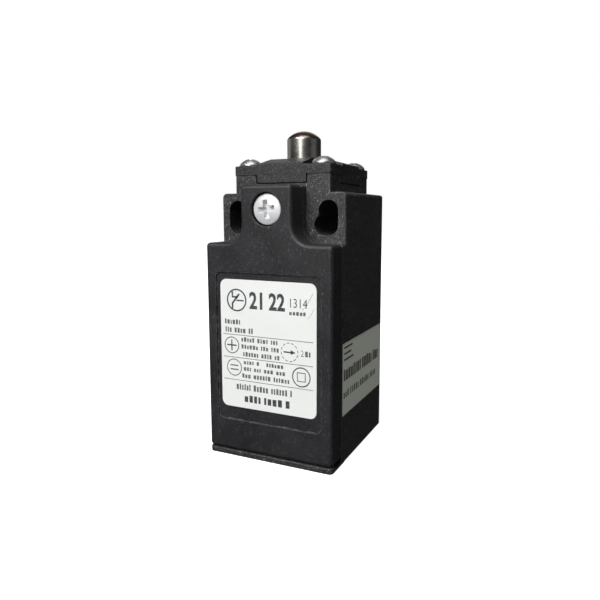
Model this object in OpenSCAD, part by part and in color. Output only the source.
// Compact plunger limit switch: a moulded housing with a front cover, a square plunger head held
// by four screws, and a contact block with one make and one break contact inside.
// Millimetres. X to the right, Y to the back, Z up. The origin is at the middle of the underside.

/* [Body] */
// Width of the housing and cover
body_w = 30; // [30:0.5:32]
// Depth from the cover's front to the mounting face
body_d = 32; // [32:0.5:34]
// Height of the cover's shoulders
shoulder_h = 47.2; // [47:0.1:48]
// Height of the mounting ears
ear_h = 57.9; // [57.6:0.1:58.2]
// Height of the square neck that carries the head
neck_h = 61.7; // [61.7:0.1:62.2]
// Side of the square neck
neck_w = 23; // [23:0.1:23.4]
// Thickness of the housing's side walls
wall = 2; // [1.8:0.1:2.2]
// Thickness of the threaded floor
floor_h = 8; // [7:0.5:9]
// Minor diameter of the M20x1.5 conduit thread
conduit_d = 18.38; // [18.2:0.01:18.6]

/* [Cover] */
// Depth of the front cover
cover_d = 4.95; // [4.8:0.05:5]
// Gap between the cover and the housing
seam = 0.15; // [0.1:0.05:0.2]
// Half width of the cover's neck
cover_neck = 6; // [5.8:0.1:6.2]
// Height of the cover's neck
cover_neck_h = 59.3; // [59:0.1:59.5]
// Radius of the fillet between shoulder and neck
shoulder_r = 4; // [3.5:0.5:4.5]
// Radius of the cover's rounded front edges
edge_r = 0.8; // [0.6:0.1:1]
// Height of the cover screw's axis
cover_screw_h = 54.3; // [54:0.1:54.6]

/* [Mounting slots] */
// Distance between the two slots
slot_pitch = 22; // [21.8:0.1:22.2]
// Distance between the two round holes
hole_pitch = 20; // [19.8:0.1:20.2]
// Width of a slot and diameter of a round hole
slot_w = 4.3; // [4.2:0.05:4.4]
// Length of a slot
slot_l = 7.3; // [7.2:0.1:7.4]
// Lower end of the slots
slot_z = 48.9; // [48.8:0.1:49]

/* [Head] */
// Thickness of the head's plate at its edge
plate_t = 2.5; // [2.4:0.1:2.6]
// Height of the raised middle above the plate
crown_t = 1.35; // [1.2:0.05:1.5]
// Width of the tabs that drop into the neck's notches
tab_w = 11.9; // [11.5:0.1:12]
// Distance of the head screws from the plunger's axis, along X and Y
head_screw_at = 8.9; // [8.8:0.1:9]
// Diameter of the head screws' heads
head_screw_d = 5.2; // [5:0.1:5.4]

/* [Plunger] */
// Diameter of the plunger
plunger_d = 7.8; // [7.7:0.1:7.9]
// Height of the plunger's tip at rest
plunger_h = 72.2; // [72:0.1:72.5]
// Full travel of the plunger
travel = 5; // [4:0.5:5]

/* [Contacts] */
// Gap between the contact tips of an open contact
contact_gap = 2.4; // [2:0.1:2.4]

/* [Hidden] */
$fn = 64;

e = 0.05;                                   // overshoot of a cut, and clearance of a seated piece
front = -body_d / 2;                        // cover's front face
back = body_d / 2;                          // mounting face
cover_back = front + cover_d;               // rear edge of the cover
rim = cover_back + seam;                    // front face of the housing's rim
ear_front = front + 7;                      // front face of the ears and the neck
axis_y = ear_front + neck_w / 2;            // plunger's axis
lip_t = 1.25;                               // plate of the housing that runs under the cover
cover_z = lip_t + seam;                     // underside of the cover
cover_w = body_w - 0.1;
corner_r = 0.5;                             // rounding of the neck's and the head's upright edges
hinge_r = 0.5;                              // rounding of the cover's bottom edge, about its pivot
ear_r = 1;

hook_x = [13, 14.2];                        // the cover's foot hooks and their notches
hook_y = [front + 1.9, front + 2.6];
hook_z = lip_t - 0.4;
hook_room = 0.3;

counterbore_r = 3.5;                        // seat of the cover screw's head
counterbore_y = front + 2.15;
cover_screw_d = 6.4;
cover_shank_r = 1.4;
cover_thread_r = 1.6;
retainer_r = 2.6;                           // nylon washer behind the cover, on the screw
retainer_y = [cover_back - 1.2, cover_back - 0.2];

field = [24.9, 32.5];                       // sunk field of the front label
field_z = 24.65;
field_y = front + 0.35;
label = [22.9, 28.2];
label_z = 25.4;
label_t = 0.2;
side_label_y = [rim + 0.5, back - 1.2];
side_label_z = [10.6, 26.3];
side_label_t = 0.15;
side_label_sink = 0.2;

gasket_in = 0.5;                            // cover gasket's groove, in from the cover's edge
gasket_w = 1;
gasket_d = 1.3;

cavity_w = body_w - 2 * wall;
cavity_top = 45.8;
cavity_back = back - 2.5;

spring_seat = 47.4;                         // floor of the plunger spring's chamber
chamber_r = 6.6;
chamber_top = 56.4;
spigot_r = 8;
spigot_z = chamber_top + 0.2;
gasket_r = 9.6;
gasket_t = 0.55;
screw_r = 1.25;                             // shank of the head, block and clamp screws
screw_fit = 0.03;                           // clearance round a screw's shank
head_screw_tip = 57.4;

plate_z = neck_h;
pad_z = plate_z + plate_t - 0.4;            // screw seats, sunk below the plate's top
pad_at = 5.2;                               // inner edges of the screw seats, from the plunger's axis
plate_top = plate_z + plate_t;
crown_z = plate_top + crown_t;
plate_w = neck_w + 0.2;
tab_z = 59.95;
tab_t = 1.5;
bush_r = 5.4;
bush_z = 58.5;
bush_top = crown_z - 0.9;
seal_r = 6.2;
seal_z = 57.2;

plunger_r = plunger_d / 2;
running_fit = 0.05;
dome_t = 1.8;
flange_top = 56.35;
flange_t = 1.25;
flange_r = 5.6;
stem_r = 2;
carrier_top = 44;
stem_end = carrier_top + e;

insert_r = 2.6;
insert_l = 3.9;
insert_bore = 1.95;

block_w = 23.6;
block_front = -5.5;
block_z = 17.5;
block_top = 44.2;
block_floor = 1.5;
carrier_w = 6;
carrier_d = 6.6;
carrier_z = 26;
bridge_t = 0.7;
bridge_l = 12.4;
bridge_w = 3.6;
tip_t = 0.55;
tip_r = 0.9;
tip_x = 5.2;
fixed_tip_t = 0.6;
strip_t = 0.8;
strip_w = 3.2;
strip_x = 4.4;                              // inner end of a terminal strip
pad_x = 7.4;                                // inner edge of a terminal's front pad
pad_end = 11;
pad_h = 4.4;
clamp_x = (pad_x + pad_end) / 2;
break_z = 38.6;                             // underside of the break bridge
make_z = 31.05;                             // underside of the make bridge
break_strip = break_z + bridge_t + tip_t + e + fixed_tip_t;
make_strip = make_z - tip_t - contact_gap - e - fixed_tip_t - strip_t;
break_clamp = break_strip + strip_t - pad_h / 2 - 0.3;
make_clamp = make_strip + strip_t - pad_h / 2;
block_screw_z = (break_clamp + make_clamp) / 2;
window_d = 4.4;
break_window = [36.6, 42];
make_window = [31, 35.4];

// ---------- shared shapes ----------

// A flat outline with rounded corners, centred, made of true arcs
module round_rect(w, h, r) {
    square([w - 2 * r, h], center = true);
    square([w, h - 2 * r], center = true);
    for (x = [-1, 1], y = [-1, 1]) translate([x * (w / 2 - r), y * (h / 2 - r)]) circle(r);
}

// Stands an outline drawn in X and Z between two depths
module stand(y0, y1) {
    translate([0, y1, 0]) rotate([90, 0, 0]) linear_extrude(y1 - y0) children();
}

// Lays an outline drawn in Y and Z across the width
module across(w) {
    translate([-w / 2, 0, 0]) rotate([90, 0, 90]) linear_extrude(w) children();
}

// A block given by its lowest and highest corners
module block(lo, hi) {
    translate(lo) cube(hi - lo);
}

// A rod along Y
module rod_y(x, z, r, y0, y1) {
    translate([x, y1, z]) rotate([90, 0, 0]) cylinder(r = r, h = y1 - y0);
}

// A rod along Z on the plunger's axis
module post(r, z0, z1) {
    translate([0, axis_y, z0]) cylinder(r = r, h = z1 - z0);
}

// A ring on the plunger's axis
module ring(r_in, r_out, z0, z1) {
    difference() {
        post(r_out, z0, z1);
        post(r_in, z0 - 1, z1 + 1);
    }
}

module both_sides() {
    for (m = [0, 1]) mirror([m, 0, 0]) children();
}

module head_screw_places() {
    for (x = [-1, 1], y = [-1, 1])
        translate([x * head_screw_at, axis_y + y * head_screw_at, 0]) children();
}

// Front outline of the cover and the housing's rim: wide shoulders with a narrow neck
module front_outline(half, low, inset = 0) {
    neck = cover_neck - inset;
    shoulder = shoulder_h - inset;
    fillet = shoulder_r + inset;
    translate([0, (low + inset + shoulder) / 2])
        round_rect(2 * (half - inset), shoulder - low - inset, 0.6);
    translate([0, (low + cover_neck_h) / 2])
        round_rect(2 * neck, cover_neck_h - low - 2 * inset, 0.8);
    both_sides() translate([neck, shoulder]) difference() {
        translate([-1, -1]) square(fillet + 1);
        translate([fillet, fillet]) circle(fillet);
    }
}

// Cross recess of a screw, cut down from the origin
module cross_recess(w, t, depth) {
    for (turn = [0, 90]) rotate(turn) translate([-w / 2, -t / 2, -depth]) cube([w, t, depth + 1]);
}

// A screw head standing on the origin, with a straight side and a domed top
module screw_head(d, h, side) {
    dome = h - side;
    sphere_r = (d * d / 4 + dome * dome) / (2 * dome);
    intersection() {
        translate([0, 0, h - sphere_r]) sphere(sphere_r);
        cylinder(d = d, h = h);
    }
}

// A coil spring on the plunger's axis, as a swept tube
module coil(r, wire, z0, z1, turns, sides = 8, steps = 14) {
    n = turns * steps;
    rise = z1 - z0 - 2 * wire;
    rings = [for (i = [0 : n], k = [0 : sides - 1])
        let (a = 360 * i / steps, b = 360 * k / sides, q = r + wire * cos(b))
            [q * cos(a), q * sin(a), wire + rise * i / n + wire * sin(b)]];
    sides_faces = [for (i = [0 : n - 1], k = [0 : sides - 1])
        let (k2 = (k + 1) % sides)
            [i * sides + k, i * sides + k2, (i + 1) * sides + k2, (i + 1) * sides + k]];
    first = [[for (k = [sides - 1 : -1 : 0]) k]];
    last = [[for (k = [0 : sides - 1]) n * sides + k]];
    translate([0, axis_y, z0]) polyhedron(rings, concat(sides_faces, first, last), convexity = 6);
}

// ---------- housing ----------

module mounting_slot() {
    low = slot_z + slot_w / 2;
    high = slot_z + slot_l - slot_w / 2;
    x = slot_pitch / 2;
    translate([x, low]) circle(d = slot_w);
    translate([x, high]) circle(d = slot_w);
    translate([x - slot_w / 2, low]) square([slot_w, high - low]);
    translate([hole_pitch / 2, low]) circle(d = slot_w);
}

module housing_shell() {
    stand(ear_front, back) translate([0, ear_h / 2]) round_rect(body_w, ear_h, ear_r);
    stand(rim, ear_front + 1) front_outline(body_w / 2, 0);
    linear_extrude(lip_t) translate([0, (front + rim + 1) / 2])
        round_rect(body_w, rim + 1 - front, edge_r);
    block([-body_w / 2, rim, 0], [body_w / 2, back, ear_r + 1]);
    linear_extrude(neck_h) translate([0, axis_y]) round_rect(neck_w, neck_w, corner_r);
}

module tab_notches() {
    half = tab_w / 2 + 0.2;
    deep = neck_w / 2 - tab_t - 0.1;
    translate([0, axis_y, 0]) for (turn = [0 : 90 : 270]) rotate(turn)
        block([-half, deep, tab_z - 0.15], [half, neck_w / 2 + 1, neck_h + 1]);
}

module housing() {
    color([0.16, 0.16, 0.17]) difference() {
        intersection() {
            housing_shell();
            linear_extrude(neck_h) round_rect(body_w, body_d, ear_r);
        }
        tab_notches();
        stand(rim - 1, cavity_back) translate([0, (floor_h + cavity_top) / 2])
            round_rect(cavity_w, cavity_top - floor_h, 1);
        both_sides() stand(ear_front - 1, back + 1) mounting_slot();
        both_sides() block([hook_x[0] - hook_room, hook_y[0] - hook_room, hook_z - hook_room],
                           [body_w, rim + 0.1, lip_t + 1]);
        post(conduit_d / 2, -1, floor_h + 1);
        post(stem_r + 0.6, cavity_top - 1, spring_seat + 1);
        post(chamber_r, spring_seat, chamber_top + 1);
        post(spigot_r + 0.2, chamber_top, neck_h + 1);
        post(gasket_r + e, neck_h - gasket_t, neck_h + 1);
        rod_y(0, cover_screw_h, insert_r, rim - 1, rim + insert_l);
        head_screw_places() translate([0, 0, head_screw_tip - 0.2])
            cylinder(r = screw_r + screw_fit, h = 10);
        for (x = [-clamp_x, clamp_x])
            rod_y(x, block_screw_z, screw_r + screw_fit, cavity_back - 1, cavity_back + 1.2);
        block([body_w / 2 - side_label_sink, side_label_y[0] - 0.1, side_label_z[0] - 0.1],
              [body_w, side_label_y[1] + 0.1, side_label_z[1] + 0.1]);
    }
}

module side_label() {
    color([0.55, 0.57, 0.54])
        translate([body_w / 2 - side_label_sink, 0, 0])
            block([0, side_label_y[0], side_label_z[0]], [side_label_t, side_label_y[1], side_label_z[1]]);
}

module cover_insert() {
    color([0.78, 0.62, 0.30]) difference() {
        rod_y(0, cover_screw_h, insert_r - 0.02, rim, rim + insert_l - 0.02);
        rod_y(0, cover_screw_h, insert_bore, rim - 1, rim + insert_l + 1);
    }
}

// ---------- plunger head ----------

module crown() {
    wide = plate_w / 2;
    narrow = wide - 5;
    outline = [[-wide, plate_top], [wide, plate_top], [narrow, crown_z], [-narrow, crown_z]];
    intersection() {
        translate([0, axis_y, 0]) across(plate_w) polygon(outline);
        stand(axis_y - wide, axis_y + wide) polygon(outline);
    }
}

module head_block() {
    color([0.20, 0.20, 0.21]) difference() {
        union() {
            translate([0, axis_y, plate_z]) linear_extrude(plate_t)
                round_rect(plate_w, plate_w, corner_r);
            crown();
            post(spigot_r, spigot_z, plate_z + 1);
            translate([0, axis_y, 0]) for (turn = [0 : 90 : 270]) rotate(turn)
                block([-tab_w / 2, neck_w / 2 - tab_t, tab_z], [tab_w / 2, plate_w / 2, plate_z + 1]);
        }
        post(plunger_r + 0.25, spigot_z - 1, crown_z + 1);
        post(bush_r, bush_z, bush_top);
        post(seal_r, spigot_z - 1, bush_z);
        head_screw_places() translate([0, 0, plate_z - 1]) cylinder(r = screw_r + 0.25, h = 5);
        for (x = [-1, 1], y = [-1, 1]) translate([0, axis_y, 0]) scale([x, y, 1])
            block([pad_at, pad_at, pad_z], [plate_w, plate_w, crown_z + 1]);
    }
}

module head_gasket() {
    color([0.08, 0.08, 0.08]) ring(spigot_r + 0.25, gasket_r, neck_h - gasket_t, neck_h);
}

module head_screws() {
    head_t = 1.75;
    color([0.82, 0.83, 0.85]) head_screw_places() difference() {
        union() {
            translate([0, 0, pad_z]) screw_head(head_screw_d, head_t, 0.4);
            translate([0, 0, head_screw_tip]) cylinder(r = screw_r, h = pad_z + 0.1 - head_screw_tip);
        }
        translate([0, 0, pad_z + head_t]) cross_recess(2.6, 0.6, 1);
    }
}

module guide_bush() {
    color([0.76, 0.60, 0.32]) ring(plunger_r + running_fit, bush_r - 0.02, bush_z + 0.02, bush_top - 0.02);
}

module plunger_seal() {
    color([0.07, 0.07, 0.07]) difference() {
        ring(plunger_r + 0.08, seal_r - 0.02, seal_z + 0.02, bush_z - 0.02);
        ring(plunger_r + 0.6, seal_r - 0.8, seal_z - 1, seal_z + 0.5);
    }
}

module seal_washer() {
    color([0.70, 0.71, 0.73]) ring(plunger_r + 0.4, seal_r - 0.02, spigot_z, seal_z);
}

// ---------- plunger ----------

module plunger() {
    sphere_r = (plunger_r * plunger_r + dome_t * dome_t) / (2 * dome_t);
    color([0.74, 0.74, 0.72]) {
        intersection() {
            post(plunger_r, flange_top - 0.5, plunger_h);
            translate([0, axis_y, plunger_h - sphere_r]) rotate_extrude() intersection() {
                circle(sphere_r);
                translate([0, -2 * sphere_r]) square([sphere_r, 3 * sphere_r]);
            }
        }
        post(plunger_r, flange_top - 0.5, plunger_h - dome_t - 0.5);
        post(flange_r, flange_top - flange_t, flange_top);
        post(stem_r, stem_end, flange_top - flange_t + 0.1);
    }
}

module plunger_spring() {
    color([0.62, 0.63, 0.65]) coil(4.2, 0.3, spring_seat, flange_top - flange_t, 4);
}

// ---------- contact block ----------

module contact_base() {
    channel = carrier_w / 2 + 0.3;
    channel_back = axis_y + carrier_d / 2 + 0.3;
    room = bridge_l / 2 + 0.8;
    color([0.72, 0.70, 0.62]) difference() {
        block([-block_w / 2, block_front, block_z], [block_w / 2, cavity_back, block_top]);
        block([-channel, block_front - 1, block_z + block_floor], [channel, channel_back, block_top + 1]);
        block([-room, block_front - 1, break_z - contact_gap - 0.4],
              [room, axis_y + bridge_w / 2 + 0.3, break_strip + strip_t + e]);
        block([-room, block_front - 1, make_strip - e],
              [room, axis_y + bridge_w / 2 + 0.3, make_z + bridge_t + 0.4]);
        for (z = [break_strip, make_strip]) both_sides() {
            block([strip_x, block_front - 1, z - e],
                  [pad_end + e, axis_y + strip_w / 2 + e, z + strip_t + e]);
        }
        for (x = [-clamp_x, clamp_x]) {
            for (z = [break_clamp, make_clamp])
                rod_y(x, z, screw_r + screw_fit, block_front - 1, block_front + 4);
            rod_y(x, block_screw_z, screw_r + screw_fit, block_front - 1, cavity_back + 1);
        }
    }
}

module contact_cap() {
    color([0.35, 0.36, 0.38]) difference() {
        block([-6.9, block_front - 1.2, block_z + 0.8], [6.9, block_front, block_top - 0.8]);
        for (z = [break_clamp, make_clamp], x = [-5, 5])
            block([x - 1, block_front - 1.3, z - 1.2], [x + 1, block_front - 0.9, z + 1.2]);
    }
}

module block_screws() {
    color([0.80, 0.81, 0.83]) for (x = [-clamp_x, clamp_x]) difference() {
        union() {
            rod_y(x, block_screw_z, 2.1, block_front - 1.5, block_front);
            rod_y(x, block_screw_z, screw_r, block_front - 0.5, cavity_back + 1);
        }
        translate([x, block_front - 1.5, block_screw_z]) rotate([90, 0, 0]) cross_recess(2.6, 0.6, 0.9);
    }
}

// A terminal on the right: contact arm, leg to the front and screw pad
module terminal(z, clamp_z) {
    difference() {
        union() {
            block([strip_x, axis_y - strip_w / 2, z], [pad_end, axis_y + strip_w / 2, z + strip_t]);
            block([pad_x, block_front - strip_t, z], [pad_end, axis_y, z + strip_t]);
            block([pad_x, block_front - strip_t, clamp_z - pad_h / 2],
                  [pad_end, block_front, max(z + strip_t, clamp_z + pad_h / 2)]);
        }
        rod_y(clamp_x, clamp_z, screw_r + screw_fit, block_front - 2, block_front + 1);
    }
}

module break_terminals() {
    color([0.85, 0.68, 0.32]) both_sides() terminal(break_strip, break_clamp);
}

module make_terminals() {
    color([0.85, 0.68, 0.32]) both_sides() terminal(make_strip, make_clamp);
}

module tip_pair(z, h) {
    for (x = [-tip_x, tip_x]) translate([x, axis_y, z]) cylinder(r = tip_r, h = h);
}

module fixed_tips() {
    color([0.90, 0.90, 0.92]) {
        tip_pair(break_strip - fixed_tip_t, fixed_tip_t);
        tip_pair(make_strip + strip_t, fixed_tip_t);
    }
}

module clamp_places() {
    for (x = [-clamp_x, clamp_x], z = [break_clamp, make_clamp]) translate([x, 0, z]) children();
}

module clamp_plates() {
    y0 = block_front - strip_t - 1.6;
    color([0.80, 0.81, 0.83]) clamp_places() difference() {
        union() {
            block([-1.75, y0, -1.9], [1.75, y0 + 0.6, 1.9]);
            for (z = [-1.9, 1.5]) block([-1.75, y0, z], [1.75, y0 + 1.2, z + 0.4]);
        }
        rod_y(0, 0, screw_r + screw_fit, y0 - 1, y0 + 2);
    }
}

module clamp_screws() {
    y0 = block_front - strip_t - 1.6;
    color([0.83, 0.84, 0.86]) clamp_places() difference() {
        union() {
            rod_y(0, 0, 1.8, y0 - 1.5, y0);
            rod_y(0, 0, screw_r, y0 - 0.5, block_front + 3.5);
        }
        translate([0, y0 - 1.5, 0]) rotate([90, 0, 0]) cross_recess(2.4, 0.6, 0.9);
    }
}

module carrier_spring() {
    color([0.62, 0.63, 0.65]) coil(2, 0.2, block_z + block_floor, carrier_z, 4);
}

module contact_carrier() {
    half_d = carrier_d / 2;
    color([0.75, 0.15, 0.12]) difference() {
        block([-carrier_w / 2, axis_y - half_d, carrier_z], [carrier_w / 2, axis_y + half_d, carrier_top]);
        for (w = [break_window, make_window])
            block([-carrier_w, axis_y - window_d / 2, w[0]], [carrier_w, axis_y + window_d / 2, w[1]]);
    }
}

module bridge(z) {
    translate([0, axis_y, z]) linear_extrude(bridge_t) round_rect(bridge_l, bridge_w, 0.6);
}

module break_bridge() {
    color([0.86, 0.55, 0.35]) bridge(break_z);
}

module break_bridge_tips() {
    color([0.92, 0.92, 0.93]) tip_pair(break_z + bridge_t, tip_t);
}

module break_bridge_spring() {
    color([0.62, 0.63, 0.65]) coil(1.2, 0.15, break_window[0], break_z, 3);
}

module make_bridge() {
    color([0.86, 0.55, 0.35]) bridge(make_z);
}

module make_bridge_tips() {
    color([0.92, 0.92, 0.93]) tip_pair(make_z - tip_t, tip_t);
}

module make_bridge_spring() {
    color([0.62, 0.63, 0.65]) coil(1.2, 0.15, make_z + bridge_t, make_window[1], 3);
}

// ---------- front cover ----------

// Side view of the cover: round at the bottom edge about the hinge axis, round at the top edge
module cover_side() {
    top = cover_neck_h + 1;
    difference() {
        translate([front, cover_z]) square([cover_d, top - cover_z]);
        difference() {
            translate([front - 1, cover_z - 1]) square(hinge_r + 1);
            translate([front + hinge_r, cover_z + hinge_r]) circle(hinge_r);
        }
    }
}

// What is cut away to round the front edge of the neck's top
module neck_rounding() {
    z = cover_neck_h - edge_r;
    across(2 * cover_neck + 2) difference() {
        translate([front - 1, z]) square([edge_r + 1, 3]);
        translate([front + edge_r, z]) circle(edge_r);
    }
}

module cover_body() {
    intersection() {
        stand(front, cover_back) front_outline(cover_w / 2, cover_z);
        across(body_w) cover_side();
        linear_extrude(body_d * 2) translate([0, front + body_d / 2])
            round_rect(cover_w, body_d, edge_r);
    }
}

// Outline of the gasket's groove, or of the gasket with some play on both sides
module gasket_outline(play) {
    difference() {
        front_outline(cover_w / 2, cover_z, gasket_in + play);
        front_outline(cover_w / 2, cover_z, gasket_in + gasket_w - play);
    }
}

module front_cover() {
    pocket_top = shoulder_h - wall;
    pocket_low = cover_z + wall;
    color([0.15, 0.15, 0.17]) difference() {
        union() {
            cover_body();
            both_sides() block([hook_x[0], hook_y[0], hook_z], [hook_x[1], hook_y[1], cover_z + 0.3]);
        }
        stand(front + wall, cover_back + 1) translate([0, (pocket_low + pocket_top) / 2])
            round_rect(cover_w - 2 * wall - 0.6, pocket_top - pocket_low - 0.6, 1);
        stand(cover_back - gasket_d, cover_back + 1) gasket_outline(0);
        stand(front - 1, field_y) translate([0, field_z]) round_rect(field[0], field[1], 1.2);
        neck_rounding();
        rod_y(0, cover_screw_h, counterbore_r, front - 1, counterbore_y);
        rod_y(0, cover_screw_h, cover_shank_r + 0.35, front, cover_back + 1);
        rod_y(0, cover_screw_h, retainer_r + e, retainer_y[0] - e, cover_back + 1);
    }
}

module front_label() {
    color([0.80, 0.81, 0.80]) stand(field_y - label_t, field_y)
        translate([0, label_z]) round_rect(label[0], label[1], 1.5);
}

module cover_gasket() {
    color([0.07, 0.07, 0.07]) stand(cover_back - gasket_d, cover_back) gasket_outline(e);
}

module cover_screw() {
    seat = counterbore_y - e;
    head_t = 2;
    color([0.86, 0.87, 0.88]) translate([0, 0, cover_screw_h]) difference() {
        union() {
            translate([0, seat, 0]) rotate([90, 0, 0]) screw_head(cover_screw_d, head_t, 1.3);
            rod_y(0, 0, cover_shank_r, seat - 0.1, rim + 0.4);
            rod_y(0, 0, cover_thread_r, rim + 0.3, rim + 2.4);
        }
        translate([0, seat - head_t, 0]) rotate([90, 0, 0]) cross_recess(3.6, 0.8, 1.3);
    }
}

module screw_retainer() {
    color([0.85, 0.84, 0.78]) difference() {
        rod_y(0, cover_screw_h, retainer_r, retainer_y[0], retainer_y[1]);
        rod_y(0, cover_screw_h, cover_shank_r + 0.04, retainer_y[0] - 1, retainer_y[1] + 1);
    }
}

housing();
head_block();
head_gasket();
head_screws();
guide_bush();
plunger_seal();
seal_washer();
cover_insert();
side_label();
contact_base();
contact_cap();
block_screws();
break_terminals();
make_terminals();
fixed_tips();
clamp_screws();
clamp_plates();
carrier_spring();
plunger();
plunger_spring();
contact_carrier();
break_bridge();
break_bridge_tips();
break_bridge_spring();
make_bridge();
make_bridge_tips();
make_bridge_spring();
front_cover();
front_label();
cover_gasket();
cover_screw();
screw_retainer();
